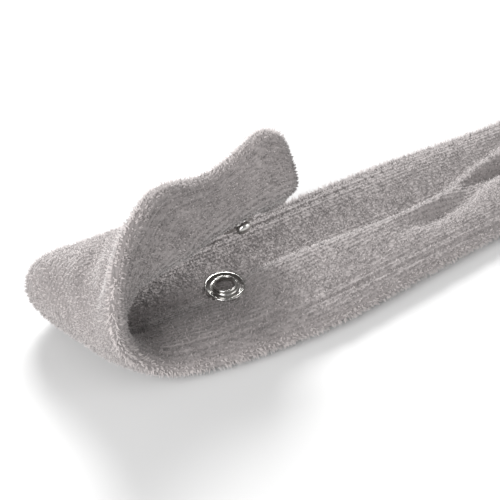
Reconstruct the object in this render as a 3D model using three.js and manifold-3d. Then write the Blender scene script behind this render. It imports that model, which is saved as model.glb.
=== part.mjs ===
// A padded velour strap with a snap-closed loop at each end. Millimetres, +Z up.
// The strap lies along X on the plane z = 0, centred on the origin. Its -X loop is peeled open
// and stands half up; its +X loop lies folded back and snapped shut.
import * as THREE from 'three';
import { mergeVertices } from 'three/addons/utils/BufferGeometryUtils.js';
import Module from 'manifold-3d';

const wasm = await Module();
wasm.setup();

// ---------- driving dimensions ----------

const STRAP_WIDTH = 43;
const STRAP_THICKNESS = 6;
const SOCKET_SPACING = 170; // between the two sockets, along X
const TIP_RADIUS = 10; // rounding of each flap's free corners

const VELOUR = 1.2; // knitted velour with its pile
const LAYER_GAP = 0.3;
const EDGE_ROUND = 1.8; // how far in from the edge the strap reaches its full thickness
const EDGE_HEIGHT = 1.3; // half the height of the strap's blunt edge

const SNAP_RADIUS = 5.5;
const SHEET = 0.4; // steel sheet of the snap parts
const SNAP_SEGMENTS = 16;
const PRONGS = 5;
const PRONG_CIRCLE = 4.6;
const PRONG_SIDE = 0.6;
const PRONG_CLEARANCE = 0.6; // how much wider a prong's hole is than the prong
const PRONG_RING_INNER = 3.9;
const PRONG_RING_OUTER = 5.3;
const PRONG_RING_DEPTH = 1.3; // its far face, below the velour's underside
const PATCH_HOLE = 3.0;
const PATCH_RADIUS = 5.8;
const PATCH_DEPTH = 0.2; // its near face, below the velour's underside
const PATCH_THICKNESS = 0.5;
const POCKET_DEPTH = 1.6; // the wadding's pocket, below the velour's underside
const POCKET_CLEARANCE = 0.5; // round the patch
const SPRING_WIRE = 0.2; // radius of the wire
const SPRING_RADIUS = 2.75;
const SPRING_LEVEL = 0.25; // the wire's middle, over the face of the fabric
const SPRING_GAP = 0.25; // half of the split, in radians
const ON_AXIS = 0.001; // a lathe profile keeps this hair's breadth off the axis and closes on itself

// How each loop is bent. Distances run along the strap, from the socket towards the flap's tip;
// slants turn a fold line out of square, positive where the far edge folds further out.
// Places are where each layer's facets meet, across the strap.
const PEELED_LOOP = {
  bends: [{ from: 29.5, to: 62.3, slantFrom: 19.7, slantTo: -16.3, angle: 180 }],
  lift: { angle: 109, line: -11, slope: 3.1, from: 37.9, ramp: 42.1, width: 6.6 },
  stud: 98.7,
  tip: 116.3,
  places: [-15.5, -13, -10.5, -8, -5.5, 3, 12],
};

// The snapped loop: a roll, a slope down to the snap, and a bend back to level.
const ROLL_START = 42;
const ROLL_RADIUS = 8;
const ROLL_EXCESS = 14; // degrees past half a turn, which slope the flap down
const SETTLE_LENGTH = 12;
const SNAPPED_GAP = 4; // between the inner faces at the snap
const TIP_BEYOND_STUD = 17.6;
const FLAT_PLACES = [-7, 7];

// ---------- the strap's shape ----------

const rad = THREE.MathUtils.degToRad;
const HALF_WIDTH = STRAP_WIDTH / 2;
const HALF_THICKNESS = STRAP_THICKNESS / 2;
const FOLD_STEPS = 18; // small turns that make up a bend
const NORMAL_REACH = 1; // how far round a point its normal is taken

function snappedLoop() {
  const excess = rad(ROLL_EXCESS);
  const rollEnd = ROLL_START + ROLL_RADIUS * (Math.PI + excess);
  const rollTop = ROLL_RADIUS * (1 + Math.cos(excess));
  const settleDrop = SETTLE_LENGTH * Math.sin(excess / 2);
  const slope = (rollTop - STRAP_THICKNESS - SNAPPED_GAP - settleDrop) / Math.sin(excess);
  const settle = rollEnd + slope;
  const reach = ROLL_RADIUS * Math.sin(excess) + slope * Math.cos(excess)
    + SETTLE_LENGTH * Math.cos(excess / 2);
  const stud = settle + SETTLE_LENGTH + ROLL_START - reach;
  return {
    bends: [
      { from: ROLL_START, to: rollEnd, slantFrom: 0, slantTo: 0, angle: 180 + ROLL_EXCESS },
      { from: settle, to: settle + SETTLE_LENGTH, slantFrom: 0, slantTo: 0, angle: -ROLL_EXCESS },
    ],
    lift: null,
    stud,
    tip: stud + TIP_BEYOND_STUD,
    places: FLAT_PLACES,
  };
}

const SNAPPED_LOOP = snappedLoop();

function smooth(value) {
  const t = THREE.MathUtils.clamp(value, 0, 1);
  return t * t * (3 - 2 * t);
}

// The near part of a peeled flap turns outwards about a line that runs along the strap.
function liftNearPart(loop, along, across) {
  if (!loop.lift) return new THREE.Vector3(-along, across, 0);
  const { angle, line, slope, from, ramp, width } = loop.lift;
  const turn = rad(angle) * smooth((along - from) / ramp);
  const edge = line + (along - loop.bends[0].to) * Math.tan(rad(slope)) + width / 2;
  const beyond = Math.max(edge - across, 0);
  if (beyond === 0 || turn < 1e-6) return new THREE.Vector3(-along, across, 0);
  const radius = width / turn;
  const arc = Math.min(beyond, width);
  const local = arc / radius;
  const out = radius * Math.sin(local) + (beyond - arc) * Math.cos(local);
  const down = radius * (1 - Math.cos(local)) + (beyond - arc) * Math.sin(local);
  return new THREE.Vector3(-along, edge - out, -down);
}

function slantAt(bend, share) {
  return Math.tan(rad(bend.slantFrom + share * (bend.slantTo - bend.slantFrom)));
}

// A point of the strap's middle layer: along the strap and across it.
function middlePoint(loop, along, across) {
  const point = liftNearPart(loop, along, across);
  for (const bend of [...loop.bends].reverse()) {
    const length = bend.to - bend.from;
    for (let step = FOLD_STEPS - 1; step >= 0; step -= 1) {
      const share = (step + 0.5) / FOLD_STEPS;
      const at = bend.from + share * length;
      const slant = slantAt(bend, share);
      const half = 0.5 / FOLD_STEPS;
      const fan = slantAt(bend, share + half) - slantAt(bend, share - half);
      const spacing = length / FOLD_STEPS + across * fan;
      const turned = THREE.MathUtils.clamp((along - at - across * slant) / spacing + 0.5, 0, 1);
      const axis = new THREE.Vector3(-slant, 1, 0).normalize();
      const pivot = new THREE.Vector3(-at, 0, 0);
      point.sub(pivot).applyAxisAngle(axis, turned * rad(bend.angle) / FOLD_STEPS).add(pivot);
    }
  }
  point.z += HALF_THICKNESS;
  return point;
}

// A point of the strap at a height over its middle layer, towards its inner face. The socket
// stands over the loop's own origin.
function strapPoint(loop, along, across, height) {
  const reach = NORMAL_REACH;
  const ahead = middlePoint(loop, along + reach, across).sub(middlePoint(loop, along - reach, across));
  const aside = middlePoint(loop, along, across + reach).sub(middlePoint(loop, along, across - reach));
  const normal = aside.cross(ahead).normalize();
  return middlePoint(loop, along, across).addScaledVector(normal, height);
}

// ---------- meshes ----------

// Points from one side of the strap to the other, at one height.
function span(places, halfWidth, height) {
  return [-halfWidth, ...places, halfWidth].map((across) => [across, height]);
}

// A layer's section: one chain of points from its near edge to its far edge, and one back.
// A velour layer is a shallow tray: a face with its edges turned towards the other layer.
function velourSection(places, side) {
  const w = HALF_WIDTH;
  const top = HALF_THICKNESS;
  const under = top - VELOUR;
  const seam = LAYER_GAP / 2;
  const turn = ([across, height]) => [across, side * height];
  return {
    outwards: [
      [-w, seam], [-w, EDGE_HEIGHT], ...span(places, w - EDGE_ROUND, top), [w, EDGE_HEIGHT], [w, seam],
    ].map(turn),
    back: [
      [-w + VELOUR, seam], ...span(places, w - EDGE_ROUND - VELOUR / 2, under), [w - VELOUR, seam],
    ].map(turn),
  };
}

function waddingSection(places) {
  const w = HALF_WIDTH - VELOUR - LAYER_GAP;
  const top = HALF_THICKNESS - VELOUR - LAYER_GAP;
  const shoulder = HALF_WIDTH - EDGE_ROUND - VELOUR;
  return {
    outwards: [[-w, 0], ...span(places, shoulder, top), [w, 0]],
    back: span(places, shoulder, -top),
  };
}

function sectionsFor(places) {
  return {
    inner_velour: velourSection(places, 1),
    wadding: waddingSection(places),
    outer_velour: velourSection(places, -1),
  };
}

// Triangles between two chains of points, each as places in the ring of both: the first chain,
// then the second one turned round.
function rungs(outwards, back) {
  const apart = (i, j) => Math.hypot(outwards[i][0] - back[j][0], outwards[i][1] - back[j][1]);
  const backPlace = (j) => outwards.length + back.length - 1 - j;
  const triangles = [];
  let i = 0;
  let j = 0;
  while (i + 1 < outwards.length || j + 1 < back.length) {
    const last = j + 1 === back.length;
    if (last || (i + 1 < outwards.length && apart(i + 1, j) <= apart(i, j + 1))) {
      triangles.push([i, i + 1, backPlace(j)]);
      i += 1;
    } else {
      triangles.push([i, backPlace(j + 1), backPlace(j)]);
      j += 1;
    }
  }
  return triangles;
}

// Sweeps a closed section through stations, each a function from a section point to a place.
// Each four-sided facet is split from its farther corner on the first station to its nearer one
// on the next, so that facing layers are split alike and stay apart where the strap twists.
function sweep({ outwards, back }, stations) {
  const section = [...outwards, ...[...back].reverse()];
  const rings = stations.map((station) => section.map(([across, height]) => station(across, height)));
  const positions = rings.flat().flatMap((point) => point.toArray());
  const count = section.length;
  const index = [];
  for (let s = 0; s + 1 < rings.length; s += 1) {
    for (let i = 0; i < count; i += 1) {
      const a = s * count + i;
      const b = s * count + (i + 1) % count;
      const farwards = section[(i + 1) % count][0] > section[i][0];
      if (farwards) index.push(a, b, a + count, b, b + count, a + count);
      else index.push(a, b, b + count, a, b + count, a + count);
    }
  }
  const last = (rings.length - 1) * count;
  for (const [a, b, c] of rungs(outwards, back)) index.push(b, a, c, last + a, last + b, last + c);
  const geometry = new THREE.BufferGeometry();
  geometry.setAttribute('position', new THREE.Float32BufferAttribute(positions, 3));
  geometry.setIndex(index);
  return geometry;
}

function signedVolume(geometry) {
  const p = geometry.getAttribute('position');
  const index = geometry.getIndex().array;
  const corner = [new THREE.Vector3(), new THREE.Vector3(), new THREE.Vector3()];
  let volume = 0;
  for (let i = 0; i < index.length; i += 3) {
    corner.forEach((v, k) => v.fromBufferAttribute(p, index[i + k]));
    volume += corner[0].dot(corner[1].clone().cross(corner[2])) / 6;
  }
  return volume;
}

// Faces point out whichever way round the section was drawn.
function facingOut(geometry) {
  if (signedVolume(geometry) >= 0) return geometry;
  const index = geometry.getIndex().array;
  for (let i = 0; i < index.length; i += 3) {
    [index[i], index[i + 1]] = [index[i + 1], index[i]];
  }
  return geometry;
}

function toSolid(geometry) {
  const bare = geometry.clone();
  bare.deleteAttribute('normal');
  bare.deleteAttribute('uv');
  const merged = facingOut(mergeVertices(bare, 1e-4));
  const vertProperties = Float32Array.from(merged.getAttribute('position').array);
  const triVerts = Uint32Array.from(merged.getIndex().array);
  return new wasm.Manifold(new wasm.Mesh({ numProp: 3, vertProperties, triVerts }));
}

function fromSolid(solid) {
  const mesh = solid.getMesh();
  const geometry = new THREE.BufferGeometry();
  geometry.setAttribute('position', new THREE.BufferAttribute(mesh.vertProperties, 3));
  geometry.setIndex(new THREE.BufferAttribute(mesh.triVerts, 1));
  return geometry;
}

function placed(geometry, matrix) {
  return geometry.clone().applyMatrix4(matrix);
}

function lathe(outline, segments = SNAP_SEGMENTS) {
  const points = [...outline, outline[0]].map(([r, z]) => new THREE.Vector2(r, z));
  return new THREE.LatheGeometry(points, segments).rotateX(Math.PI / 2);
}

// ---------- where things sit on the strap ----------

// The frame of a snap half on the inner face: Z out of the fabric, X towards the tip.
function snapFrame(loop, along) {
  const base = strapPoint(loop, along, 0, HALF_THICKNESS);
  const out = strapPoint(loop, along, 0, HALF_THICKNESS + 1).sub(base).normalize();
  const ahead = strapPoint(loop, along + 1, 0, HALF_THICKNESS).sub(base);
  const side = out.clone().cross(ahead).normalize();
  return new THREE.Matrix4().makeBasis(side.clone().cross(out), side, out).setPosition(base);
}

// A cut across the strap: the whole strap turns back by this share of its bend there.
function cutAlong(loop, share) {
  const bend = loop.bends[0];
  const at = bend.from + share * (bend.to - bend.from);
  return (across) => at + across * slantAt(bend, share);
}

const CUTS = [1 / 6, 1 / 2, 5 / 6];
const CUT_GAP = 0.5; // half the gap between two fabric solids at a cut
const FOLD_STATIONS = 6;
const FLAP_STATIONS = 8;
const FLAP_CROWDING = 0.4; // below 1, the flap's stations crowd towards the fold
const TIP_STATIONS = 4;
const MIDDLE_STATIONS = 3;
const MIDDLE_LEVEL = 4; // level length ahead of a bend

function stationBetween(loop, start, end, share) {
  return (across, height) => {
    const along = start(across) + share * (end(across) - start(across));
    return strapPoint(loop, along, across, height);
  };
}

// The fabric between two cuts of the fold.
function foldPiece(loop, section, first, second) {
  const start = cutAlong(loop, CUTS[first]);
  const end = cutAlong(loop, CUTS[second]);
  const low = (across) => start(across) + CUT_GAP;
  const high = (across) => end(across) - CUT_GAP;
  const stations = [];
  for (let i = 0; i <= FOLD_STATIONS; i += 1) {
    stations.push(stationBetween(loop, low, high, i / FOLD_STATIONS));
  }
  return sweep(section, stations);
}

// The flap: from the last cut to the straight part, then to the rounded tip. Its layers end
// short of the tip by the inset.
function flapPiece(loop, section, inset) {
  const start = cutAlong(loop, CUTS[2]);
  const low = (across) => start(across) + CUT_GAP;
  const level = () => loop.tip - TIP_RADIUS;
  const stations = [];
  for (let i = 0; i <= FLAP_STATIONS; i += 1) {
    const share = i / FLAP_STATIONS;
    const crowded = share * (FLAP_CROWDING + (1 - FLAP_CROWDING) * share);
    stations.push(stationBetween(loop, low, level, crowded));
  }
  for (let i = 1; i <= TIP_STATIONS; i += 1) {
    const turn = (i / TIP_STATIONS) * Math.PI / 2;
    const along = level() + (TIP_RADIUS - inset) * Math.sin(turn);
    const width = (HALF_WIDTH - TIP_RADIUS * (1 - Math.cos(turn))) / HALF_WIDTH;
    stations.push((across, height) => strapPoint(loop, along, across * width, height));
  }
  return sweep(section, stations);
}

// The middle of the strap, from one loop's first cut to the other's.
function middlePiece(section, left, right) {
  const towards = (end, across) => {
    const cut = cutAlong(end.loop, CUTS[0]);
    const bendStart = cutAlong(end.loop, 0);
    const low = (place) => bendStart(place) - MIDDLE_LEVEL;
    const high = (place) => cut(place) - CUT_GAP;
    const shares = Array.from({ length: MIDDLE_STATIONS + 1 }, (_, i) => i / MIDDLE_STATIONS);
    return shares.map((share) => (place, height) => {
      const local = stationBetween(end.loop, low, high, share)(place * across, height);
      return local.applyMatrix4(end.matrix);
    });
  };
  return sweep(section, [...towards(left, 1).reverse(), ...towards(right, -1)]);
}

// ---------- snap parts, each in its own frame on the inner face ----------

// Socket: a rolled rim, a dished face and a raised collar round the hole.
function socketGeometry() {
  const hole = 2.5;
  return lathe([
    [SNAP_RADIUS, 0.15], [SNAP_RADIUS, 0.75], [5.2, 1.05], [4.85, 1.15], [4.5, 1.0],
    [3.6, 0.75], [3.35, 1.0], [3.25, 1.75], [3.0, 2.0], [hole, 1.9],
    [hole, 0.5], [hole + SHEET, 0.5], [hole + SHEET, 1.45], [2.95, 0.35], [4.2, 0.35],
    [4.9, 0.7], [5.1, 0.15],
  ]);
}

// Spring: a split ring of wire at the foot of the collar.
function springGeometry() {
  const radius = SPRING_RADIUS;
  const wire = SPRING_WIRE;
  const arc = new THREE.EllipseCurve(0, 0, radius, radius, SPRING_GAP, 2 * Math.PI - SPRING_GAP);
  const points = arc.getPoints(SNAP_SEGMENTS).map((p) => new THREE.Vector3(p.x, p.y, SPRING_LEVEL));
  const round = new THREE.EllipseCurve(0, 0, wire, wire, 0, 2 * Math.PI);
  const section = new THREE.Shape(round.getPoints(5));
  return new THREE.ExtrudeGeometry(section, {
    steps: SNAP_SEGMENTS,
    extrudePath: new THREE.CatmullRomCurve3(points),
    curveSegments: 1,
  });
}

// Stud: a flange, a grooved post and a rounded head, hollow from the back.
function studGeometry() {
  return lathe([
    [ON_AXIS, 0.55], [0.9, 0.55], [0.9, 0.15], [5.3, 0.15], [5.3, 0.4], [4.9, 0.6],
    [2.0, 0.6], [1.75, 0.8], [1.75, 1.15], [1.95, 1.3], [1.75, 1.45], [1.75, 1.75],
    [2.15, 2.1], [2.2, 2.6], [1.9, 3.2], [1.2, 3.55], [ON_AXIS, 3.65],
  ]);
}

function prongPlaces() {
  const turns = Array.from({ length: PRONGS }, (_, i) => (i + 0.5) * 2 * Math.PI / PRONGS);
  return turns.map((turn) => new THREE.Matrix4().makeRotationZ(turn));
}

// A square prong, or its hole, in the place of the first of them.
function prongBox(side, low, high) {
  const box = new THREE.BoxGeometry(side, side, high - low);
  return box.translate(PRONG_CIRCLE, 0, (low + high) / 2);
}

// Prong ring: a flat ring behind the velour whose prongs pass through it.
function prongRingGeometry() {
  const low = -VELOUR - PRONG_RING_DEPTH;
  const high = low + SHEET;
  const flat = lathe([
    [PRONG_RING_INNER, low], [PRONG_RING_OUTER, low], [PRONG_RING_OUTER, high], [PRONG_RING_INNER, high],
  ]);
  const prongEnd = -0.1;
  let ring = toSolid(flat);
  for (const place of prongPlaces()) {
    ring = ring.add(toSolid(placed(prongBox(PRONG_SIDE, low + SHEET / 2, prongEnd), place)));
  }
  return fromSolid(ring);
}

// Patch: a woven disc between the velour and the prong ring.
function patchGeometry() {
  const high = -VELOUR - PATCH_DEPTH;
  const low = high - PATCH_THICKNESS;
  const disc = lathe([[PATCH_HOLE, low], [PATCH_RADIUS, low], [PATCH_RADIUS, high], [PATCH_HOLE, high]]);
  const hole = prongBox(PRONG_SIDE + PRONG_CLEARANCE, low - 1, high + 1);
  let patch = toSolid(disc);
  for (const place of prongPlaces()) patch = patch.subtract(toSolid(placed(hole, place)));
  return fromSolid(patch);
}

// The inner velour, with the holes that the prongs of each snap half pass through.
function withProngHoles(geometry, frames) {
  const hole = prongBox(PRONG_SIDE + PRONG_CLEARANCE, -VELOUR - 1, 1);
  let solid = toSolid(geometry);
  for (const frame of frames) {
    for (const place of prongPlaces()) {
      solid = solid.subtract(toSolid(placed(hole, frame.clone().multiply(place))));
    }
  }
  return fromSolid(solid);
}

// The wadding, with a round pocket under each snap half for its patch and prong ring.
function withPockets(geometry, frames) {
  const low = -VELOUR - POCKET_DEPTH;
  const high = 2; // clear of the wadding
  const radius = PATCH_RADIUS + POCKET_CLEARANCE;
  const pocket = new THREE.CylinderGeometry(radius, radius, high - low, SNAP_SEGMENTS);
  pocket.rotateX(Math.PI / 2).translate(0, 0, (high + low) / 2);
  let solid = toSolid(geometry);
  for (const frame of frames) solid = solid.subtract(toSolid(placed(pocket, frame)));
  return fromSolid(solid);
}

// ---------- materials ----------

const velour = new THREE.MeshStandardMaterial({ color: 0xb4acaa, roughness: 0.95, metalness: 0 });
const wadding = new THREE.MeshStandardMaterial({ color: 0xf2f0ec, roughness: 1, metalness: 0 });
const patchCloth = new THREE.MeshStandardMaterial({ color: 0xd8d4cf, roughness: 0.9, metalness: 0 });
const steel = new THREE.MeshStandardMaterial({ color: 0xc9c7c2, roughness: 0.25, metalness: 1 });
const springSteel = new THREE.MeshStandardMaterial({ color: 0x9b9a97, roughness: 0.35, metalness: 1 });

const LAYER_MATERIAL = { inner_velour: velour, wadding, outer_velour: velour };

// ---------- the object ----------

const strap = new THREE.Group();

function add(name, geometry, material, matrix) {
  const clean = facingOut(geometry);
  clean.computeVertexNormals();
  const mesh = new THREE.Mesh(clean, material);
  mesh.name = name;
  if (matrix) mesh.applyMatrix4(matrix);
  strap.add(mesh);
}

function indexed(geometry) {
  const bare = geometry.clone();
  bare.deleteAttribute('normal');
  bare.deleteAttribute('uv');
  return mergeVertices(bare, 1e-4);
}

const left = {
  name: 'left',
  loop: PEELED_LOOP,
  matrix: new THREE.Matrix4().makeTranslation(-SOCKET_SPACING / 2, 0, 0),
};
const right = {
  name: 'right',
  loop: SNAPPED_LOOP,
  matrix: new THREE.Matrix4().makeTranslation(SOCKET_SPACING / 2, 0, 0)
    .multiply(new THREE.Matrix4().makeRotationZ(Math.PI)),
};

const TIP_INSET = { inner_velour: 0, wadding: VELOUR + LAYER_GAP, outer_velour: 0 };

function shapeLayer(layer, geometry, frames) {
  if (layer === 'inner_velour') return withProngHoles(geometry, frames);
  if (layer === 'wadding') return withPockets(geometry, frames);
  return geometry;
}

const socketFrames = [left, right].map((end) => end.matrix.clone().multiply(snapFrame(end.loop, 0)));
for (const [layer, section] of Object.entries(sectionsFor(FLAT_PLACES))) {
  const middle = middlePiece(section, left, right);
  add(`middle_${layer}`, shapeLayer(layer, middle, socketFrames), LAYER_MATERIAL[layer]);
}

for (const end of [left, right]) {
  const { name, loop, matrix } = end;
  for (const [layer, section] of Object.entries(sectionsFor(loop.places))) {
    const material = LAYER_MATERIAL[layer];
    const flap = flapPiece(loop, section, TIP_INSET[layer]);
    add(`${name}_fold_lower_${layer}`, foldPiece(loop, section, 0, 1), material, matrix);
    add(`${name}_fold_upper_${layer}`, foldPiece(loop, section, 1, 2), material, matrix);
    add(`${name}_flap_${layer}`, shapeLayer(layer, flap, [snapFrame(loop, loop.stud)]), material, matrix);
  }
}

function addSnapHalf(prefix, frame, parts) {
  for (const [name, geometry, material] of parts) {
    add(`${prefix}_${name}`, indexed(geometry), material, frame);
  }
}

for (const end of [left, right]) {
  const socketFrame = end.matrix.clone().multiply(snapFrame(end.loop, 0));
  const studFrame = end.matrix.clone().multiply(snapFrame(end.loop, end.loop.stud));
  addSnapHalf(end.name, socketFrame, [
    ['socket', socketGeometry(), steel],
    ['socket_spring', springGeometry(), springSteel],
    ['socket_prong_ring', prongRingGeometry(), steel],
    ['socket_patch', patchGeometry(), patchCloth],
  ]);
  addSnapHalf(end.name, studFrame, [
    ['stud', studGeometry(), steel],
    ['stud_prong_ring', prongRingGeometry(), steel],
    ['stud_patch', patchGeometry(), patchCloth],
  ]);
}

export default strap;
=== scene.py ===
"""Looks for a padded velour strap with a peeled snap loop and a shut one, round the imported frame.

Shapes are worked out in millimetres. A place on the strap is (a, w): a runs from a loop's socket towards
the tip of its flap, and is negative towards the strap's middle. w runs across, positive towards +Y.
"""
import math
from collections import namedtuple

import bpy
import numpy as np
from mathutils import Matrix, Vector


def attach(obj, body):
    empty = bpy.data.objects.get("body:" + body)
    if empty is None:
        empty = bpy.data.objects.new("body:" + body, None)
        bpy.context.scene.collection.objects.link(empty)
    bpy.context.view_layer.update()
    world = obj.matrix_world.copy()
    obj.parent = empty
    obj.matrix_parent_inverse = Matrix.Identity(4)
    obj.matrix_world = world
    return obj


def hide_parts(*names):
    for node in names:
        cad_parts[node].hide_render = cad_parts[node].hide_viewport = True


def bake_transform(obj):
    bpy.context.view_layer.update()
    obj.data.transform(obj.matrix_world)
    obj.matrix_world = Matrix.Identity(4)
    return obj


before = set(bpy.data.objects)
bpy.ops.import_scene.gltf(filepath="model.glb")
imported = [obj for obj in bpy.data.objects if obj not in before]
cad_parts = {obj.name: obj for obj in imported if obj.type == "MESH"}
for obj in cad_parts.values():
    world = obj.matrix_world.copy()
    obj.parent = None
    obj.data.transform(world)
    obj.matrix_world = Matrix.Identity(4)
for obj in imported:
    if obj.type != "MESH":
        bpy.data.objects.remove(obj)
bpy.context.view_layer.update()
MM = 0.001

# ---------- the strap's shape, in millimetres, as the frame has it ----------

HALF_WIDTH = 21.5
HALF_THICKNESS = 3.0
SOCKET_X = 85.0  # from the strap's middle to either socket
TIP_RADIUS = 10.0
FOLD_STEPS = 18  # small turns that make up a bend

# A stretch of the strap that bends by angle degrees, about fold lines that go from one slant to another.
Bend = namedtuple("Bend", "start end slant_start slant_end angle")

# The lift turns the near part of the peeled flap outwards: all beyond a sloping line, round a curve that is
# so wide. It also shifts the flap's padding to the near side.
PEELED = {
    "bends": [Bend(29.5, 62.3, 19.7, -16.3, 180.0)],
    "lift": {
        "angle": 90.0, "start": 37.9, "ramp": 42.1, "line": -11.0, "slope": 3.1, "width": 6.6,
        "shift": 6.8, "shift_start": 46.0, "shift_ramp": 42.0,
    },
    "stud": 98.7,
    "tip": 116.3,
}

ROLL_START = 42.0
ROLL_RADIUS = 8.0
ROLL_EXCESS = 14.0  # degrees past half a turn, which slope the flap down
SETTLE_LENGTH = 12.0
SNAPPED_GAP = 4.0  # between the inner faces at the snap
TIP_BEYOND_STUD = 17.6


def snapped_loop():
    """The shut loop: a roll, a slope down to the snap, and a bend back to level."""
    excess = math.radians(ROLL_EXCESS)
    end = ROLL_START + ROLL_RADIUS * (math.pi + excess)
    top = ROLL_RADIUS * (1 + math.cos(excess))
    drop = SETTLE_LENGTH * math.sin(excess / 2)
    slope = (top - 2 * HALF_THICKNESS - SNAPPED_GAP - drop) / math.sin(excess)
    settle = end + slope
    reach = ROLL_RADIUS * math.sin(excess) + slope * math.cos(excess) + SETTLE_LENGTH * math.cos(excess / 2)
    stud = settle + SETTLE_LENGTH + ROLL_START - reach
    bends = [
        Bend(ROLL_START, end, 0.0, 0.0, 180.0 + ROLL_EXCESS),
        Bend(settle, settle + SETTLE_LENGTH, 0.0, 0.0, -ROLL_EXCESS),
    ]
    return {"bends": bends, "lift": None, "stud": stud, "tip": stud + TIP_BEYOND_STUD}


SNAPPED = snapped_loop()
CUTS = (1 / 6, 1 / 2, 5 / 6)  # where the three hinges lie, as shares of a loop's first bend


def smooth(t):
    """0 up to t = 0, 1 from t = 1, and an S between them."""
    t = np.clip(t, 0, 1)
    return t * t * (3 - 2 * t)


def ramp(x, start, length):
    """Rises from 0 to 1 over a length that begins at start."""
    return smooth((x - start) / length)


def bump(x, centre, width):
    """A bell of height 1."""
    return np.exp(-(((x - centre) / width) ** 2))


def slant_at(bend, share):
    return np.tan(np.radians(bend.slant_start + share * (bend.slant_end - bend.slant_start)))


def lifted(loop, a, w):
    """The flat strap with the near part of a peeled flap turned outwards."""
    x, y, z = -a, w.copy(), np.zeros_like(a)
    lift = loop["lift"]
    if lift:
        turn = np.radians(lift["angle"]) * ramp(a, lift["start"], lift["ramp"])
        edge = lift["line"] + (a - loop["bends"][0].end) * math.tan(math.radians(lift["slope"]))
        edge = edge + lift["width"] / 2
        w = w - lift["shift"] * ramp(a, lift["shift_start"], lift["shift_ramp"])
        beyond = np.maximum(edge - w, 0)
        radius = lift["width"] / np.maximum(turn, 1e-6)
        arc = np.minimum(beyond, lift["width"])
        local = arc / radius
        out = radius * np.sin(local) + (beyond - arc) * np.cos(local)
        down = radius * (1 - np.cos(local)) + (beyond - arc) * np.sin(local)
        moves = beyond > 0
        y = np.where(moves, edge - out, w)
        z = np.where(moves, -down, 0.0)
    return np.stack([x, y, z], -1)


def middle_surface(loop, a, w):
    """The strap's middle layer in the loop's own frame: its socket over the origin, the loop towards -X."""
    p = lifted(loop, a, w)
    half = 0.5 / FOLD_STEPS
    for bend in reversed(loop["bends"]):
        length = bend.end - bend.start
        for step in range(FOLD_STEPS - 1, -1, -1):
            share = (step + 0.5) / FOLD_STEPS
            at, slant = bend.start + share * length, slant_at(bend, share)
            spacing = length / FOLD_STEPS + w * (slant_at(bend, share + half) - slant_at(bend, share - half))
            part = np.clip((a - at - w * slant) / spacing + 0.5, 0, 1)
            turn = part * math.radians(bend.angle) / FOLD_STEPS
            axis = np.array([-slant, 1.0, 0.0])
            axis /= np.linalg.norm(axis)
            pivot = np.array([-at, 0.0, 0.0])
            v = p - pivot
            c, s = np.cos(turn)[..., None], np.sin(turn)[..., None]
            p = pivot + v * c + np.cross(axis, v) * s + axis * (v @ axis)[..., None] * (1 - c)
    p[..., 2] += HALF_THICKNESS
    return p


# Small corrections to the peeled loop: (along, across, reach along, reach across, move in X, Y, Z).
NUDGES = [
    (36.0, -21.5, 16.0, 14.0, (0.0, 4.5, 1.5)),
    (70.0, -22.0, 11.0, 13.0, (-1.5, 0.0, 3.6)),
    (94.0, -22.0, 13.0, 15.0, (0.0, 0.0, -5.6)),
    (117.0, -10.0, 8.0, 18.0, (-1.0, 0.5, -0.6)),
    (54.0, 20.0, 14.0, 14.0, (-2.6, 0.0, 1.4)),
    (96.0, 2.0, 16.0, 14.0, (-2.0, 0.5, 2.0)),
]


def in_part_frame(left, p):
    """Moves a loop to its end of the strap. The right one is turned to face the other way."""
    if left:
        return p + np.array([-SOCKET_X, 0, 0])
    return p * np.array([-1, -1, 1]) + np.array([SOCKET_X, 0, 0])


def middle_point(left, a, w):
    """The middle layer in the part's frame."""
    loop = PEELED if left else SNAPPED
    across = w if left else -w
    p = in_part_frame(left, middle_surface(loop, a, across))
    if left:
        for at, to, reach, spread, move in NUDGES:
            p = p + (bump(a, at, reach) * bump(w, to, spread))[..., None] * np.array(move)
    return p


def strap_point(left, a, w, h):
    """A point h over the middle layer towards the inner face."""
    ahead = middle_point(left, a + 1, w) - middle_point(left, a - 1, w)
    aside = middle_point(left, a, w + 1) - middle_point(left, a, w - 1)
    normal = np.cross(aside, ahead) if left else np.cross(ahead, aside)
    normal /= np.linalg.norm(normal, axis=-1, keepdims=True)
    return middle_point(left, a, w) + normal * h[..., None]


# ---------- the padded section ----------

AROUND = 190  # points round the section
GIRTH = 92.5
GIRTH_STEP = GIRTH / AROUND
SECTION_SAMPLES = 4000  # along its top, for spacing the points evenly
SECTION_TOP = 3.6
SECTION_LOW = 3.0


def edge_shape(x):
    """The share of its full height that the section has at x, from -1 to 1 across: blunt round edges."""
    return (1 - np.clip(np.abs(x), 0, 1) ** 5) ** 0.5


def section():
    """Points round the section, as shares of the half width, of the inner face and of the outer face."""
    x = np.sin(np.linspace(-math.pi / 2, math.pi / 2, SECTION_SAMPLES + 1))
    edge = edge_shape(x)
    top = np.stack([x * HALF_WIDTH, edge * SECTION_TOP], -1)
    low = np.stack([x * HALF_WIDTH, -edge * SECTION_LOW], -1)[::-1]
    loop = np.concatenate([top, low[1:-1]])
    step = np.linalg.norm(np.diff(np.concatenate([loop, loop[:1]]), axis=0), axis=1)
    at = np.concatenate([[0], np.cumsum(step)])
    want = np.linspace(0, at[-1], AROUND, endpoint=False)
    where = np.interp(want, at, np.arange(len(at)))
    xs = np.interp(where, np.arange(len(at)), np.append(loop[:, 0], loop[0, 0])) / HALF_WIDTH
    is_top = where < SECTION_SAMPLES
    edges = edge_shape(xs)
    return xs, np.where(is_top, edges, 0), np.where(is_top, 0, edges)


XS, TOPS, LOWS = section()

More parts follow.
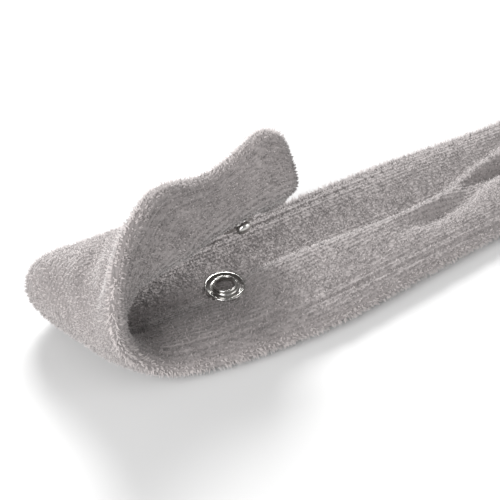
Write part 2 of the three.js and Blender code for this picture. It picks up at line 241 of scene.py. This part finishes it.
# The inner face of the straight strap, over the middle layer.
VALLEY = 1.5  # along the crease
FAR_RISE = 2.5  # from the crease to the far side
NEAR_RISE = 3.1  # from the crease to the plump near side
NEAR_FALL = 1.1  # from there to the near edge
PINCH_DENT = 2.0  # beside the ridge of the pinched fold, on the near side
PINCH_SINK = 1.2  # all round the pinched fold
PINCH_RIDGE = 2.2

# The inner face of the loops and flaps.
FOLD_VALLEY = 2.4
FOLD_RISE = 1.7
FOLD_RIPPLE = 0.18
FLAP_PUFF = 2.4  # of the peeled flap, on its far side
FLAP_RIPPLE = 0.35

SNAP_LEVEL = 3.0  # of the fabric round a snap
SNAP_REACH = 8  # of the flat there, along the strap
SOCKET_DENT = 1.0
EDGE_GROOVES = [(0.55, 3.6, 0.55), (0.35, 6.0, 0.5)]  # (depth, distance from the edge, width)
OUTER_LEVEL = 3.0
OUTER_RISE = 0.25
OUTER_GROOVE = 0.4  # depth of the outer face's grooves, as a share of the inner face's
ROLL_WRINKLE = 0.75  # outside the peeled loop


def along_x(left, a):
    return np.where(left, -SOCKET_X - a, SOCKET_X + a)


def base_relief(x, w):
    """The inner face of the straight strap: a soft slope down to a crease, and a plump near side beyond it.

    A pinched fold crosses the crease near the strap's middle.
    """
    crease = 2.6 - 2.1 * ramp(x, -62, 36) + 1.2 * ramp(x, -18, 20)
    v = w - crease
    far = VALLEY + FAR_RISE * ramp(v, 0, 17)
    near = VALLEY + NEAR_RISE * (1 - bump(v, 0, 2.4)) - NEAR_FALL * ramp(-v, 5, 15)
    face = np.where(v > 0, far, near)
    pinch = ramp(x, -40, 22) * (1 - ramp(x, 22, 20))
    ridge = -2.0 + 0.2 * (x + 28) * ramp(x, -28, 30)
    dent = PINCH_DENT * bump(w, ridge - 5.2, 2.6) + PINCH_SINK * bump(w, ridge - 2, 8)
    return face - pinch * dent + pinch * PINCH_RIDGE * bump(w, ridge, 1.9)


def heights(left, a, w, half):
    """How far the inner and outer faces stand off the middle layer, where the strap is half wide."""
    stud = (PEELED if left else SNAPPED)["stud"]
    snaps = np.maximum(bump(a, 0, SNAP_REACH), bump(a, stud, SNAP_REACH)) * bump(w, 0, 9)
    off_crease = 1 - bump(w, 0, 3.6)
    ripple = np.sin(a / 5.3 + 1.1 * np.sin(w / 6))
    folded = FOLD_VALLEY + off_crease * FOLD_RISE + FOLD_RIPPLE * ripple * off_crease
    if left:
        puff = ramp(a, 66, 16) * ramp(w, 0, 4.5) * (1 - ramp(w, 7, 12))
        folded = folded + FLAP_PUFF * puff
        folded = folded + FLAP_RIPPLE * np.sin(a * 0.55 - w * 0.5) * bump(a, 76, 12) * bump(w, -9, 6)
    on_base = 1 - ramp(a, -6, 14)
    inner = folded * (1 - on_base) + base_relief(along_x(left, a), w) * on_base
    inner = inner * (1 - snaps) + (SNAP_LEVEL - SOCKET_DENT * bump(a, 0, 12)) * snaps
    inset = half - np.abs(w)
    grooves = sum(depth * bump(inset, place, width) for depth, place, width in EDGE_GROOVES)
    outer = OUTER_LEVEL + OUTER_RISE * (1 - bump(w, 0, 6)) * ramp(a, 26, 14)
    wrinkle = np.sin((a - 0.8 * w) * 0.62 + 0.6) * bump(a, 63, 11) * bump(w, 3, 9)
    outer = outer + ROLL_WRINKLE * wrinkle * left - OUTER_GROOVE * grooves
    return inner - grooves, outer


# How much wider each side of the strap lies: (amount, place along X, reach).
# It spreads by the peeled loop and gathers in the middle.
NEAR_SPREAD = [(2.8, -68, 30), (-2.6, 4, 34)]
FAR_SPREAD = [(-2.6, 16, 28)]


def widened(w, side, spread, x):
    """w with one side of the strap, -1 near or 1 far, spread or gathered."""
    amount = sum(much * bump(x, place, reach) for much, place, reach in spread)
    return w + np.where(w * side > 0, w, 0) / HALF_WIDTH * amount


# ---------- stations along the strap ----------

STATION_STEP = 0.9
FEWEST_STEPS = 4  # between two fences
TIP_STEPS = 16  # round the tip's corners
BASE_START = -22.0  # the strap rides on the middle up to here
TIP_TAPER = 3.2  # over this length the tip rounds off


def at_centre(fence):
    """Where a line across the strap crosses its centre line."""
    return fence(np.zeros(1))[0]


def stations(left):
    """Lines across one half of the strap, from its middle to the tip, and where each piece of it ends.

    Each is (fence before, fence after, share of the way, turn round the tip). A fence gives a for any w.
    """
    loop = PEELED if left else SNAPPED
    bend = loop["bends"][0]

    def ruling(share):
        at = bend.start + share * (bend.end - bend.start)
        slant = slant_at(bend, share)
        return lambda w: at + w * slant * (1 if left else -1)

    def level(at):
        return lambda w: at + 0 * w

    tip = level(loop["tip"] - TIP_RADIUS)
    fences = [level(-SOCKET_X), level(BASE_START), ruling(1 / 3), ruling(2 / 3), tip]
    lines, marks = [], [0]
    for low, high in zip(fences, fences[1:]):
        length = abs(at_centre(high) - at_centre(low))
        count = max(FEWEST_STEPS, int(round(length / STATION_STEP)))
        lines += [(low, high, i / count, 0.0) for i in range(count)]
        marks.append(len(lines))
    lines += [(tip, tip, 0.0, math.pi / 2 * i / TIP_STEPS) for i in range(TIP_STEPS + 1)]
    return lines, marks


def grid(left):
    """The padded surface of one half: places and unit normals, station by station round the section."""
    loop = PEELED if left else SNAPPED
    lines, marks = stations(left)
    share = np.array([line[2] for line in lines])[:, None]
    tip = np.array([line[3] for line in lines])[:, None]
    half = HALF_WIDTH - TIP_RADIUS * (1 - np.cos(tip))
    centre = np.array([at_centre(low) * (1 - part) + at_centre(high) * part for low, high, part, _ in lines])
    x = along_x(left, centre[:, None])
    w = widened(XS[None, :] * half, -1, NEAR_SPREAD, x)
    w = widened(w, 1, FAR_SPREAD, x)
    low = np.array([line[0](w[i]) for i, line in enumerate(lines)])
    high = np.array([line[1](w[i]) for i, line in enumerate(lines)])
    a = low + share * (high - low) + TIP_RADIUS * np.sin(tip)
    inner, outer = heights(left, a, w, half)
    taper = np.sqrt(np.clip(1 - np.clip((a - loop["tip"] + TIP_TAPER) / TIP_TAPER, 0, 1) ** 2, 0, 1))
    places = strap_point(left, a, w, (TOPS * inner - LOWS * outer) * taper)
    around = np.roll(places, -1, 1) - np.roll(places, 1, 1)
    along = np.gradient(places, axis=0)
    if not left:
        along = -along
    normals = np.cross(around, along)
    size = np.linalg.norm(normals, axis=-1, keepdims=True)
    return {"places": places, "normals": normals / np.maximum(size, 1e-9), "a": a, "marks": marks}


# ---------- materials ----------


def node_material(name):
    material = bpy.data.materials.new(name)
    material.use_nodes = True
    tree = material.node_tree
    return material, tree, tree.nodes["Principled BSDF"]


def set_inputs(node, values):
    for name, value in values.items():
        node.inputs[name].default_value = value


def add_node(tree, kind, values=None, **settings):
    node = tree.nodes.new(kind)
    for name, value in settings.items():
        setattr(node, name, value)
    set_inputs(node, values or {})
    return node


def add_ramp(tree, dark, light, start=0.0, end=1.0):
    """A colour ramp between two colours."""
    node = add_node(tree, "ShaderNodeValToRGB")
    for element, colour, position in zip(node.color_ramp.elements, (dark, light), (start, end)):
        element.position = position
        element.color = list(colour) + [1]
    return node


def shaded(tone, share):
    return [min(1, c * share) for c in tone]


def velour_material(name, tone, depth):
    """Knitted velour: ribs along the strap, nubs between them and a soft sheen."""
    material, tree, shader = node_material(name)
    link = tree.links.new
    uv = add_node(tree, "ShaderNodeUVMap", uv_map="strap")
    knit = {"Scale": 0.27, "Distortion": 1.6, "Detail": 2.0, "Detail Scale": 1.3}
    wave = add_node(tree, "ShaderNodeTexWave", knit, bands_direction="Y")
    nubs = add_node(tree, "ShaderNodeTexVoronoi", {"Scale": 1.5})
    cloud = add_node(tree, "ShaderNodeTexNoise", {"Scale": 0.16, "Detail": 4.0})
    for texture in (wave, nubs, cloud):
        link(uv.outputs[0], texture.inputs["Vector"])
    mix = add_node(tree, "ShaderNodeMath", {1: 0.5}, operation="MULTIPLY_ADD")
    link(wave.outputs["Fac"], mix.inputs[0])
    link(nubs.outputs["Distance"], mix.inputs[2])
    # painted shade: the cover's colour lies below the pile's, so it is darker between the nubs; the ribs and
    # nubs of the knit are its own pattern
    colour = add_ramp(tree, shaded(tone, 0.55), shaded(tone, 0.8), 0.1, 0.95)
    link(mix.outputs[0], colour.inputs[0])
    tint = add_node(tree, "ShaderNodeMix", data_type="RGBA", blend_type="MULTIPLY")
    tint.inputs["Factor"].default_value = 0.35
    link(colour.outputs[0], tint.inputs[6])
    link(cloud.outputs["Fac"], tint.inputs[7])
    link(tint.outputs[2], shader.inputs["Base Color"])
    height = add_node(tree, "ShaderNodeBump", {"Strength": 0.6, "Distance": depth * MM})
    link(mix.outputs[0], height.inputs["Height"])
    link(height.outputs[0], shader.inputs["Normal"])
    set_inputs(shader, {
        "Roughness": 0.95, "Specular IOR Level": 0.15,
        "Sheen Weight": 0.35, "Sheen Roughness": 0.5, "Sheen Tint": (0.95, 0.93, 0.92, 1),
    })
    return material


def pile_material(name, tone):
    """The pile's nubs: each has a tone of its own with painted light on it, and painted shade at its root."""
    material, tree, shader = node_material(name)
    tone_and_painted_light = add_node(tree, "ShaderNodeAttribute", attribute_name="tone_and_painted_light")
    colour = add_ramp(tree, shaded(tone, 0.42), shaded(tone, 1.5))
    tree.links.new(tone_and_painted_light.outputs["Fac"], colour.inputs[0])
    tree.links.new(colour.outputs[0], shader.inputs["Base Color"])
    set_inputs(shader, {
        "Roughness": 0.9, "Specular IOR Level": 0.15, "Sheen Weight": 0.3, "Sheen Roughness": 0.5,
    })
    return material


def steel_material(name, tone, rough, scratch):
    """Metal with a fine unevenness in its colour and gloss."""
    material, tree, shader = node_material(name)
    link = tree.links.new
    coords = add_node(tree, "ShaderNodeTexCoord")
    noise = add_node(tree, "ShaderNodeTexNoise", {"Scale": scratch, "Detail": 5.0})
    link(coords.outputs["Object"], noise.inputs["Vector"])
    gloss = add_node(tree, "ShaderNodeMapRange", {"To Min": rough * 0.7, "To Max": rough * 1.5})
    link(noise.outputs["Fac"], gloss.inputs["Value"])
    link(gloss.outputs[0], shader.inputs["Roughness"])
    colour = add_ramp(tree, shaded(tone, 0.85), tone)
    link(noise.outputs["Fac"], colour.inputs[0])
    link(colour.outputs[0], shader.inputs["Base Color"])
    shader.inputs["Metallic"].default_value = 1.0
    return material


def cloth_material(name, light, dark, scale):
    """Plain woven cloth."""
    material, tree, shader = node_material(name)
    colours = {"Scale": scale, "Color1": (*light, 1), "Color2": (*dark, 1)}
    weave = add_node(tree, "ShaderNodeTexChecker", colours)
    tree.links.new(weave.outputs["Color"], shader.inputs["Base Color"])
    shader.inputs["Roughness"].default_value = 0.9
    return material


VELOUR_TONE = (0.362, 0.333, 0.328)
velour = velour_material("velour_knit", VELOUR_TONE, 0.35)
pile = pile_material("velour_pile", VELOUR_TONE)
plated = steel_material("nickel_plate", (0.54, 0.53, 0.51), 0.2, 900)
wire = steel_material("spring_wire", (0.4, 0.4, 0.4), 0.35, 1200)
cloth = cloth_material("patch_cloth", (0.66, 0.63, 0.58), (0.5, 0.48, 0.45), 2500)

# ---------- making pieces ----------

RIGHT_UV_SHIFT = 400  # keeps the two halves apart in the knit's pattern


def make(name, points, faces, material, normals=None, uvs=None):
    """A mesh object from points in millimetres."""
    mesh = bpy.data.meshes.new(name)
    mesh.from_pydata((np.asarray(points) * MM).tolist(), [], faces)
    mesh.materials.append(material)
    mesh.update()
    mesh.shade_smooth()
    if uvs is not None:
        layer = mesh.uv_layers.new(name="strap")
        corner = np.zeros(len(mesh.loops), int)
        mesh.loops.foreach_get("vertex_index", corner)
        layer.data.foreach_set("uv", np.asarray(uvs)[corner].astype(np.float32).ravel())
    if normals is not None:
        mesh.normals_split_custom_set_from_vertices([tuple(n) for n in normals])
    piece = bpy.data.objects.new(name, mesh)
    bpy.context.scene.collection.objects.link(piece)
    return piece


def cover_part(name, g, first, last, left, cap_first, cap_last):
    """The padded strap between two stations, with a cap at either end that asks for one."""
    rows = last - first + 1
    points = g["places"][first:last + 1].reshape(-1, 3)
    normals = g["normals"][first:last + 1].reshape(-1, 3)
    a = g["a"][first:last + 1].reshape(-1)
    turn = np.arange(AROUND) * GIRTH_STEP
    uvs = np.stack([a if left else a + RIGHT_UV_SHIFT, np.tile(turn, rows)], -1)
    faces = []
    for r in range(rows - 1):
        for k in range(AROUND):
            q = (k + 1) % AROUND
            ring = (r * AROUND + k, r * AROUND + q, (r + 1) * AROUND + q, (r + 1) * AROUND + k)
            faces.append(ring if left else ring[::-1])
    extra, extra_normals, extra_uvs = [], [], []
    for cap, row, neighbour in ((cap_first, 0, 1), (cap_last, rows - 1, rows - 2)):
        if not cap:
            continue
        ring = points[row * AROUND:(row + 1) * AROUND]
        outward = ring.mean(0) - points[neighbour * AROUND:(neighbour + 1) * AROUND].mean(0)
        base = len(points) + len(extra)
        extra += list(ring)
        extra_normals += [outward / np.linalg.norm(outward)] * AROUND
        extra_uvs += list(uvs[row * AROUND:(row + 1) * AROUND])
        for k in range(AROUND // 2 - 1):
            quad = (base + k, base + k + 1, base + AROUND - 2 - k, base + AROUND - 1 - k)
            faces.append(quad if (row > 0) != left else quad[::-1])
    if extra:
        points = np.concatenate([points, extra])
        normals = np.concatenate([normals, extra_normals])
        uvs = np.concatenate([uvs, extra_uvs])
    return make(name, points, faces, velour, normals, uvs)


RIB = 1.25  # between two ribs of the knit
RIB_JITTER = 0.23
NUB_DENSITY = 2.4  # in a square millimetre
NUB_LENGTH = (0.4, 0.95)
NUB_FOOT = (0.2, 0.38)  # radius
NUB_DEPTH = 0.12  # of its foot, under the fabric
NUB_LEAN = (0.3, 0.3)  # mean and spread
EDGE_BAND = (0.9, 0.08)  # the strap's rim begins here and is full after so much more of the half width
EDGE_LONGER = 0.6  # nubs on the rim, longer by this share

SHADE = (0.43, 0.25)  # mean and spread
SHADE_CALM = 0.45  # how much less the shades differ on the rim
PAINTED_RIM_LIGHT = 0.42  # painted light: the pile lighter on the rim
PAINTED_OUTER_LIGHT = 0.33  # painted light: the pile lighter on the outer face
# painted highlight: the nubs' tips lighter
PAINTED_TIP_LIGHT = 0.16
ROOT_SHARE = 0.3  # of the nub's own shade kept at its root, the rest being painted shade
# painted shade: the nubs' roots darker
PAINTED_ROOT_SHADE = 0.25
# painted light: the nubs' roots lighter on the rim
PAINTED_ROOT_RIM_LIGHT = 0.5


def unit(v):
    return v / np.maximum(np.linalg.norm(v, axis=-1, keepdims=True), 1e-9)


def pile_part(name, g, first, last, seed):
    """The pile: small three-sided nubs that stand out of the fabric in ribs along the strap."""
    rng = np.random.default_rng(seed)
    p, n = g["places"], g["normals"]
    e1 = p[first + 1:last + 1] - p[first:last]
    e2 = np.roll(p, -1, 1)[first:last] - p[first:last]
    area = np.linalg.norm(np.cross(e1, e2), axis=-1)
    total = area.sum()
    count = int(total * NUB_DENSITY)
    pick = rng.choice(area.size, size=count, p=(area / total).ravel())
    r, k = np.divmod(pick, AROUND)
    r = r + first
    u, v = rng.random(count), rng.random(count)
    lane = np.round((k + v) * GIRTH_STEP / RIB) * RIB + rng.normal(0, RIB_JITTER, count)
    v = np.clip(lane / GIRTH_STEP - k, -1.0, 2.0)
    cell = np.floor(k + v).astype(int)
    k0, k1 = cell % AROUND, (cell + 1) % AROUND
    s, u = (k + v - cell)[:, None], u[:, None]

    def sample(f):
        """f where each nub stands: f has a value at every point of the grid."""
        low = f[r, k0] * (1 - s) + f[r, k1] * s
        high = f[r + 1, k0] * (1 - s) + f[r + 1, k1] * s
        return low * (1 - u) + high * u

    def sample_section(f):
        """f where each nub stands: f has a value at every point round the section."""
        return sample(np.broadcast_to(f, p.shape[:2])[..., None])[:, 0]

    root, normal = sample(p), unit(sample(n))
    along = unit(p[r + 1, k] - p[r, k])
    side = np.cross(normal, along)
    spin = rng.random(count) * 2 * math.pi
    lean = rng.normal(*NUB_LEAN, count)
    tilt = np.cos(spin)[:, None] * along + np.sin(spin)[:, None] * side
    grow = unit(normal + lean[:, None] * tilt)
    edge = ramp(np.abs(sample_section(XS)), *EDGE_BAND)
    length = rng.uniform(*NUB_LENGTH, count) * (1 + EDGE_LONGER * edge)
    foot = rng.uniform(*NUB_FOOT, count)
    base = root - normal * NUB_DEPTH
    tip = base + grow * (length + NUB_DEPTH)[:, None]
    rim, leaned = [], []
    for i in range(3):
        turn = spin + i * 2 * math.pi / 3
        out = np.cos(turn)[:, None] * along + np.sin(turn)[:, None] * side
        rim.append(base + out * foot[:, None])
        leaned.append(0.5 * normal + 0.5 * out)
    points = np.stack([*rim, tip], 1).reshape(-1, 3)
    first_corner = np.arange(count)[:, None, None] * 4
    facets = np.array([[0, 1, 3], [1, 2, 3], [2, 0, 3]])
    outwards = np.einsum("ij,ij->i", np.cross(rim[1] - rim[0], tip - rim[0]), leaned[0] + leaned[1])
    facets = np.where((outwards > 0)[:, None, None], facets[None], facets[None][..., ::-1])
    faces = (first_corner + facets).reshape(-1, 3)
    soft = unit(np.stack([*leaned, normal], 1).reshape(-1, 3))
    piece = make(name, points, faces.tolist(), pile, soft)

    # Each nub's value: its own random tone, with painted light on the rim and the outer face, a painted
    # highlight at its tip and painted shade at its root.
    outer = 1 - sample_section((TOPS > 0).astype(float))
    own = rng.normal(*SHADE, count) * (1 - SHADE_CALM * edge)
    tone_and_painted_light = np.clip(own + PAINTED_RIM_LIGHT * edge + PAINTED_OUTER_LIGHT * outer, 0, 1)
    painted_root_shade = tone_and_painted_light * ROOT_SHARE - PAINTED_ROOT_SHADE + PAINTED_ROOT_RIM_LIGHT * edge
    values = np.stack([painted_root_shade, painted_root_shade, painted_root_shade, tone_and_painted_light + PAINTED_TIP_LIGHT], 1).ravel()
    attribute = piece.data.attributes.new("tone_and_painted_light", "FLOAT", "POINT")
    attribute.data.foreach_set("value", values.astype(np.float32))
    return piece


CUT_ACROSS = {"left": 6.0, "right": 0.0}  # where across the strap a fold line's bending zone is placed
BEND_HALF = 2.1  # half the length of the zone


def cut_zone(side, share):
    """The two ends, on the strap's middle layer, of the short stretch that turns at a fold line."""
    left = side == "left"
    bend = (PEELED if left else SNAPPED)["bends"][0]
    w = np.array([CUT_ACROSS[side]])
    slant = slant_at(bend, share)
    a = bend.start + share * (bend.end - bend.start) + w * slant
    here = middle_point(left, a, w)[0]
    ahead = (middle_point(left, a + 0.5, w) - middle_point(left, a - 0.5, w))[0]
    across = (middle_point(left, a + slant, w + 1) - middle_point(left, a - slant, w - 1))[0]
    across /= np.linalg.norm(across)
    ahead -= across * (ahead @ across)
    ahead /= np.linalg.norm(ahead)
    return [tuple((here - ahead * BEND_HALF) * MM), tuple((here + ahead * BEND_HALF) * MM)]


LEFT_SEED = 10  # the first seed of the random pile on the left loop
MIDDLE_SEED = 77
NODES = ("inner_velour", "wadding", "outer_velour")
for side, left in (("left", True), ("right", False)):
    g = grid(left)
    m = g["marks"]
    last = len(g["places"]) - 1
    chain = ["middle", f"{side}_fold_lower", f"{side}_fold_upper", f"{side}_flap"]
    spans = [("base", m[1], m[2], 0), ("fold", m[2], m[3], 1), ("flap", m[3], last, 2)]
    for seed, (label, first, end, cut) in enumerate(spans):
        cover = cover_part(f"{side}_{label}_cover", g, first, end, left, True, label != "flap")
        nap = pile_part(f"{side}_{label}_pile", g, first, end, LEFT_SEED * left + seed)
        start, stop = cut_zone(side, CUTS[cut])
        for piece in (cover, nap):
            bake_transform(piece)
        if label != "base":
            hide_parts(*[f"{chain[cut]}_{layer}" for layer in NODES])
        if label == "flap":
            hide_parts(*[f"{chain[cut + 1]}_{layer}" for layer in NODES])
    cover = cover_part(f"{side}_middle_cover", g, 0, m[1], left, False, True)
    nap = pile_part(f"{side}_middle_pile", g, 0, m[1], MIDDLE_SEED + left)
    for piece in (cover, nap):
        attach(piece, "middle")
    if left:
        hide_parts(*[f"middle_{layer}" for layer in NODES])

# ---------- snap parts ----------

LATHE_SEGMENTS = 64
WELD_DISTANCE = 0.00001  # metres


def lathe(name, outline, matrix, material):
    """A turned piece from its outline of (radius, height), closed on itself or on the axis."""
    points, faces = [], []
    for r, z in outline:
        for i in range(LATHE_SEGMENTS):
            t = 2 * math.pi * i / LATHE_SEGMENTS
            points.append((r * math.cos(t), r * math.sin(t), z))
    for j in range(len(outline) - 1):
        here, above = j * LATHE_SEGMENTS, (j + 1) * LATHE_SEGMENTS
        for i in range(LATHE_SEGMENTS):
            k = (i + 1) % LATHE_SEGMENTS
            faces.append((here + i, here + k, above + k, above + i))
    rot, shift = matrix
    piece = make(name, np.array(points) @ rot.T + shift, faces, material)
    weld = piece.modifiers.new("weld", "WELD")
    weld.merge_threshold = WELD_DISTANCE
    fine = piece.modifiers.new("fine", "SUBSURF")
    fine.levels = fine.render_levels = 1
    return piece


def snap_frame(left, a, tilt=0.0, sink=0.0):
    """Axes and origin of a snap half: on the strap's inner face, tilted towards +Y by degrees, or sunk in."""
    a, w = np.array([a]), np.array([0.0])
    base = strap_point(left, a, w, np.array([HALF_THICKNESS - sink]))[0]
    out = strap_point(left, a, w, np.array([HALF_THICKNESS + 1.0 - sink]))[0] - base
    ahead = middle_point(left, a + 1, w)[0] - middle_point(left, a - 1, w)[0]
    side = np.cross(out, ahead)
    side /= np.linalg.norm(side)
    ahead = np.cross(side, out)
    c, s = math.cos(math.radians(tilt)), math.sin(math.radians(tilt))
    out, side = out * c + side * s, side * c - out * s
    return np.stack([ahead, side, out], 1), base


# Outlines of (radius, height over the fabric).
SOCKET = [
    (2.5, 0.5), (2.5, 1.3), (2.52, 1.75), (2.62, 1.95), (2.8, 2.03), (3.0, 2.0), (3.12, 1.88),
    (3.2, 1.6), (3.26, 1.2), (3.4, 0.9), (3.7, 0.78), (4.2, 0.86), (4.6, 1.02), (4.9, 1.15),
    (5.15, 1.18), (5.38, 1.08), (5.48, 0.85), (5.5, 0.5), (5.5, 0.2), (5.3, 0.05), (5.0, 0.1),
    (4.9, 0.5), (4.2, 0.35), (2.95, 0.3), (2.5, 0.5),
]
STUD = [
    (0.0, 3.65), (0.6, 3.63), (1.2, 3.52), (1.7, 3.28), (2.05, 2.9), (2.18, 2.5), (2.12, 2.15),
    (1.9, 1.9), (1.74, 1.75), (1.74, 1.5), (1.86, 1.42), (1.9, 1.3), (1.86, 1.2), (1.74, 1.12),
    (1.74, 0.85), (1.82, 0.65), (2.2, 0.55), (4.9, 0.5), (5.2, 0.45), (5.3, 0.32), (5.25, 0.2),
    (5.0, 0.15), (0.9, 0.15), (0.0, 0.15),
]
SOCKET_SINK = 0.9
STUD_TILT = {"left": 38.0, "right": 0.0}  # the peeled flap's soft padding lets its stud lean
CARRIED_NODES = {
    "socket_spring": wire, "socket_prong_ring": plated, "socket_patch": cloth,
    "stud_prong_ring": plated, "stud_patch": cloth,
}
for side, left in (("left", True), ("right", False)):
    socket = lathe(f"{side}_socket_shell", SOCKET, snap_frame(left, 0.0, sink=SOCKET_SINK), plated)
    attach(socket, "middle")
    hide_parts(f"{side}_socket")
    loop = PEELED if left else SNAPPED
    stud = lathe(f"{side}_stud_shell", STUD, snap_frame(left, loop["stud"], tilt=STUD_TILT[side]), plated)
    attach(stud, f"{side}_flap")
    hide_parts(f"{side}_stud")
    for node, material in CARRIED_NODES.items():
        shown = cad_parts[f"{side}_{node}"]
        shown.data.materials.clear()
        shown.data.materials.append(material)

# ---------- floor and lights, in metres ----------

FLOOR_HALF = 3
FLOOR_Z = -0.0004
FLOOR_TONE = 0.57
WORLD_STRENGTH = 0.42
LAMP_AIM = (-0.06, 0, 0)
LAMPS = [  # (name, place, size, power)
    ("key", (0.3, 0.79, 0.6), 0.45, 21.0),
    ("fill", (-0.88, -0.35, 0.5), 0.8, 15.0),
    ("side", (0.65, -0.7, 0.42), 0.8, 5.0),
]

floor_mesh = bpy.data.meshes.new("floor")
corners = [(-1, -1), (1, -1), (1, 1), (-1, 1)]
floor_mesh.from_pydata([(x * FLOOR_HALF, y * FLOOR_HALF, FLOOR_Z) for x, y in corners], [], [(0, 1, 2, 3)])
floor = bpy.data.objects.new("floor", floor_mesh)
floor_paint, _, floor_shader = node_material("floor_paint")
set_inputs(floor_shader, {
    "Base Color": (FLOOR_TONE, FLOOR_TONE, FLOOR_TONE, 1), "Roughness": 0.9, "Specular IOR Level": 0.1,
})
floor_mesh.materials.append(floor_paint)
bpy.context.scene.collection.objects.link(floor)

world = bpy.data.worlds.new("studio")
world.use_nodes = True
set_inputs(world.node_tree.nodes["Background"], {"Color": (1, 1, 1, 1), "Strength": WORLD_STRENGTH})
bpy.context.scene.world = world

for name, place, size, power in LAMPS:
    data = bpy.data.lights.new(name, "AREA")
    data.size = size
    data.energy = power
    item = bpy.data.objects.new(name, data)
    item.location = place
    item.rotation_euler = (Vector(LAMP_AIM) - Vector(place)).to_track_quat("-Z", "Y").to_euler()
    bpy.context.scene.collection.objects.link(item)

# ---------- camera, in millimetres ----------

# It looks so that ANCHOR falls on ANCHOR_PIXEL, where a millimetre is SCALE pixels.
AZIMUTH, ELEVATION = math.radians(-31.8), math.radians(42.7)
DISTANCE = 444.5
SCALE = 3.8
ANCHOR = np.array([-SOCKET_X, 0, 5.0])
ANCHOR_PIXEL = (225, 289)
HALF_PICTURE = 250
CLIP_START = 10.0

back = np.array([
    math.sin(AZIMUTH) * math.cos(ELEVATION), -math.cos(AZIMUTH) * math.cos(ELEVATION), math.sin(ELEVATION),
])
right = np.cross(-back, [0, 0, 1.0])
right /= np.linalg.norm(right)
up = np.cross(right, -back)
focal = SCALE * DISTANCE
aside, below = (pixel - HALF_PICTURE for pixel in ANCHOR_PIXEL)
eye = ANCHOR + back * DISTANCE - right * aside / focal * DISTANCE + up * below / focal * DISTANCE
camera_data = bpy.data.cameras.new("camera")
camera_data.angle = 2 * math.atan(HALF_PICTURE / focal)
camera_data.clip_start = CLIP_START * MM
camera = bpy.data.objects.new("camera", camera_data)
camera.matrix_world = Matrix([
    [right[0], up[0], back[0], eye[0] * MM],
    [right[1], up[1], back[1], eye[1] * MM],
    [right[2], up[2], back[2], eye[2] * MM],
    [0, 0, 0, 1],
])
bpy.context.scene.collection.objects.link(camera)
bpy.context.scene.camera = camera
bpy.context.scene.view_settings.view_transform = "Standard"
